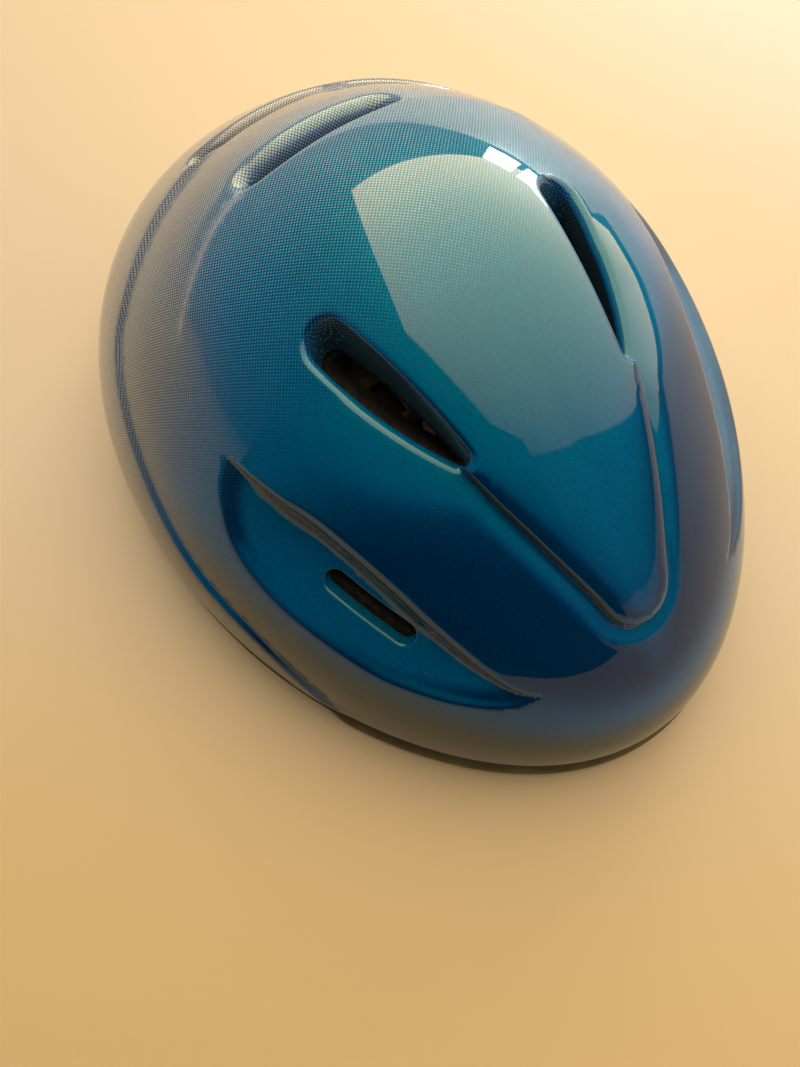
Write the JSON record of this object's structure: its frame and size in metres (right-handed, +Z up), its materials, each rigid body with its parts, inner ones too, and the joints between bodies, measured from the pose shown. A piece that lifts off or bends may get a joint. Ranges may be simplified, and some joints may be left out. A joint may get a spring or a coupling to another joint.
{
  "type": "cycling helmet",
  "caption": "Child's hard-shell cycling helmet: vented dome shell over a foam liner, rim trim, fit pads and a chin harness with divider and side-release buckle.",
  "frame": {"origin": "centre of the helmet's box on the plane that the rim stands on", "axes": "+Z up through the crown, -Y to the front of the helmet, +X to the wearer's left"},
  "size_m": [0.2004, 0.2699, 0.14],
  "materials": {
    "shell": "clear gloss over blue pearl, fading to silver dots at the rear",
    "foam": "black expanded foam beads",
    "trim": "satin olive-brown moulding",
    "pad": "brushed knit over foam",
    "hook_tape": "hook tape",
    "anchor": "moulded plastic",
    "webbing": "woven webbing",
    "buckle": "satin moulded plastic",
    "keeper": "matt rubber"
  },
  "bodies": {
    "helmet": {"outer_shell": "shell", "foam_liner": "foam", "rim_trim": "trim", "brow_pad": "pad", "crown_pad": "pad", "left_side_pad": "pad", "right_side_pad": "pad", "rear_pad": "pad", "brow_left_hook": "hook_tape", "brow_right_hook": "hook_tape", "crown_hook": "hook_tape", "left_side_hook": "hook_tape", "right_side_hook": "hook_tape", "rear_hook": "hook_tape", "front_left_anchor": "anchor", "front_right_anchor": "anchor", "rear_left_anchor": "anchor", "rear_right_anchor": "anchor", "front_left_fixed_strap": "webbing", "front_right_fixed_strap": "webbing", "rear_left_fixed_strap": "webbing", "rear_right_fixed_strap": "webbing"},
    "right_harness": {"right_front_strap": "webbing", "right_rear_strap": "webbing", "right_chin_strap": "webbing", "buckle_plug": "buckle", "strap_tail": "webbing"},
    "right_divider": {"right_divider": "buckle"},
    "strap_keeper": {"strap_keeper": "keeper"},
    "front_prong": {"plug_front_prong": "buckle"},
    "rear_prong": {"plug_rear_prong": "buckle"},
    "left_harness": {"left_front_strap": "webbing", "left_rear_strap": "webbing", "left_chin_strap": "webbing", "buckle_socket": "buckle"},
    "left_divider": {"left_divider": "buckle"}
  },
  "joints": [
    {"name": "right_strap_swing", "type": "hinge", "parent": "helmet", "child": "right_harness", "pos_m": [-0.06778, 0, 0.01216], "axis": [0, 1, 0], "range_deg": [0, 80]},
    {"name": "left_strap_swing", "type": "hinge", "parent": "helmet", "child": "left_harness", "pos_m": [0.06778, 0, 0.01216], "axis": [0, -1, 0], "range_deg": [0, 80]},
    {"name": "right_divider_slide", "type": "slide", "parent": "right_harness", "child": "right_divider", "axis": [1, 0, 0], "range_m": [0, 0.004]},
    {"name": "left_divider_slide", "type": "slide", "parent": "left_harness", "child": "left_divider", "axis": [-1, 0, 0], "range_m": [0, 0.004]},
    {"name": "keeper_slide", "type": "slide", "parent": "right_harness", "child": "strap_keeper", "axis": [1, 0, 0], "range_m": [0, 0.004]},
    {"name": "front_prong_squeeze", "type": "hinge", "parent": "right_harness", "child": "front_prong", "pos_m": [0.0076, -0.0256, 0.005], "axis": [0, 0, 1], "range_deg": [0, 6], "stiffness_Nm_per_rad": 0.05},
    {"name": "rear_prong_squeeze", "type": "hinge", "parent": "right_harness", "child": "rear_prong", "pos_m": [0.0076, -0.0084, 0.005], "axis": [0, 0, -1], "range_deg": [0, 6], "stiffness_Nm_per_rad": 0.05}
  ],
  "couplings": [
    {"joint": "rear_prong_squeeze", "follows": "front_prong_squeeze", "ratio": 1}
  ]
}
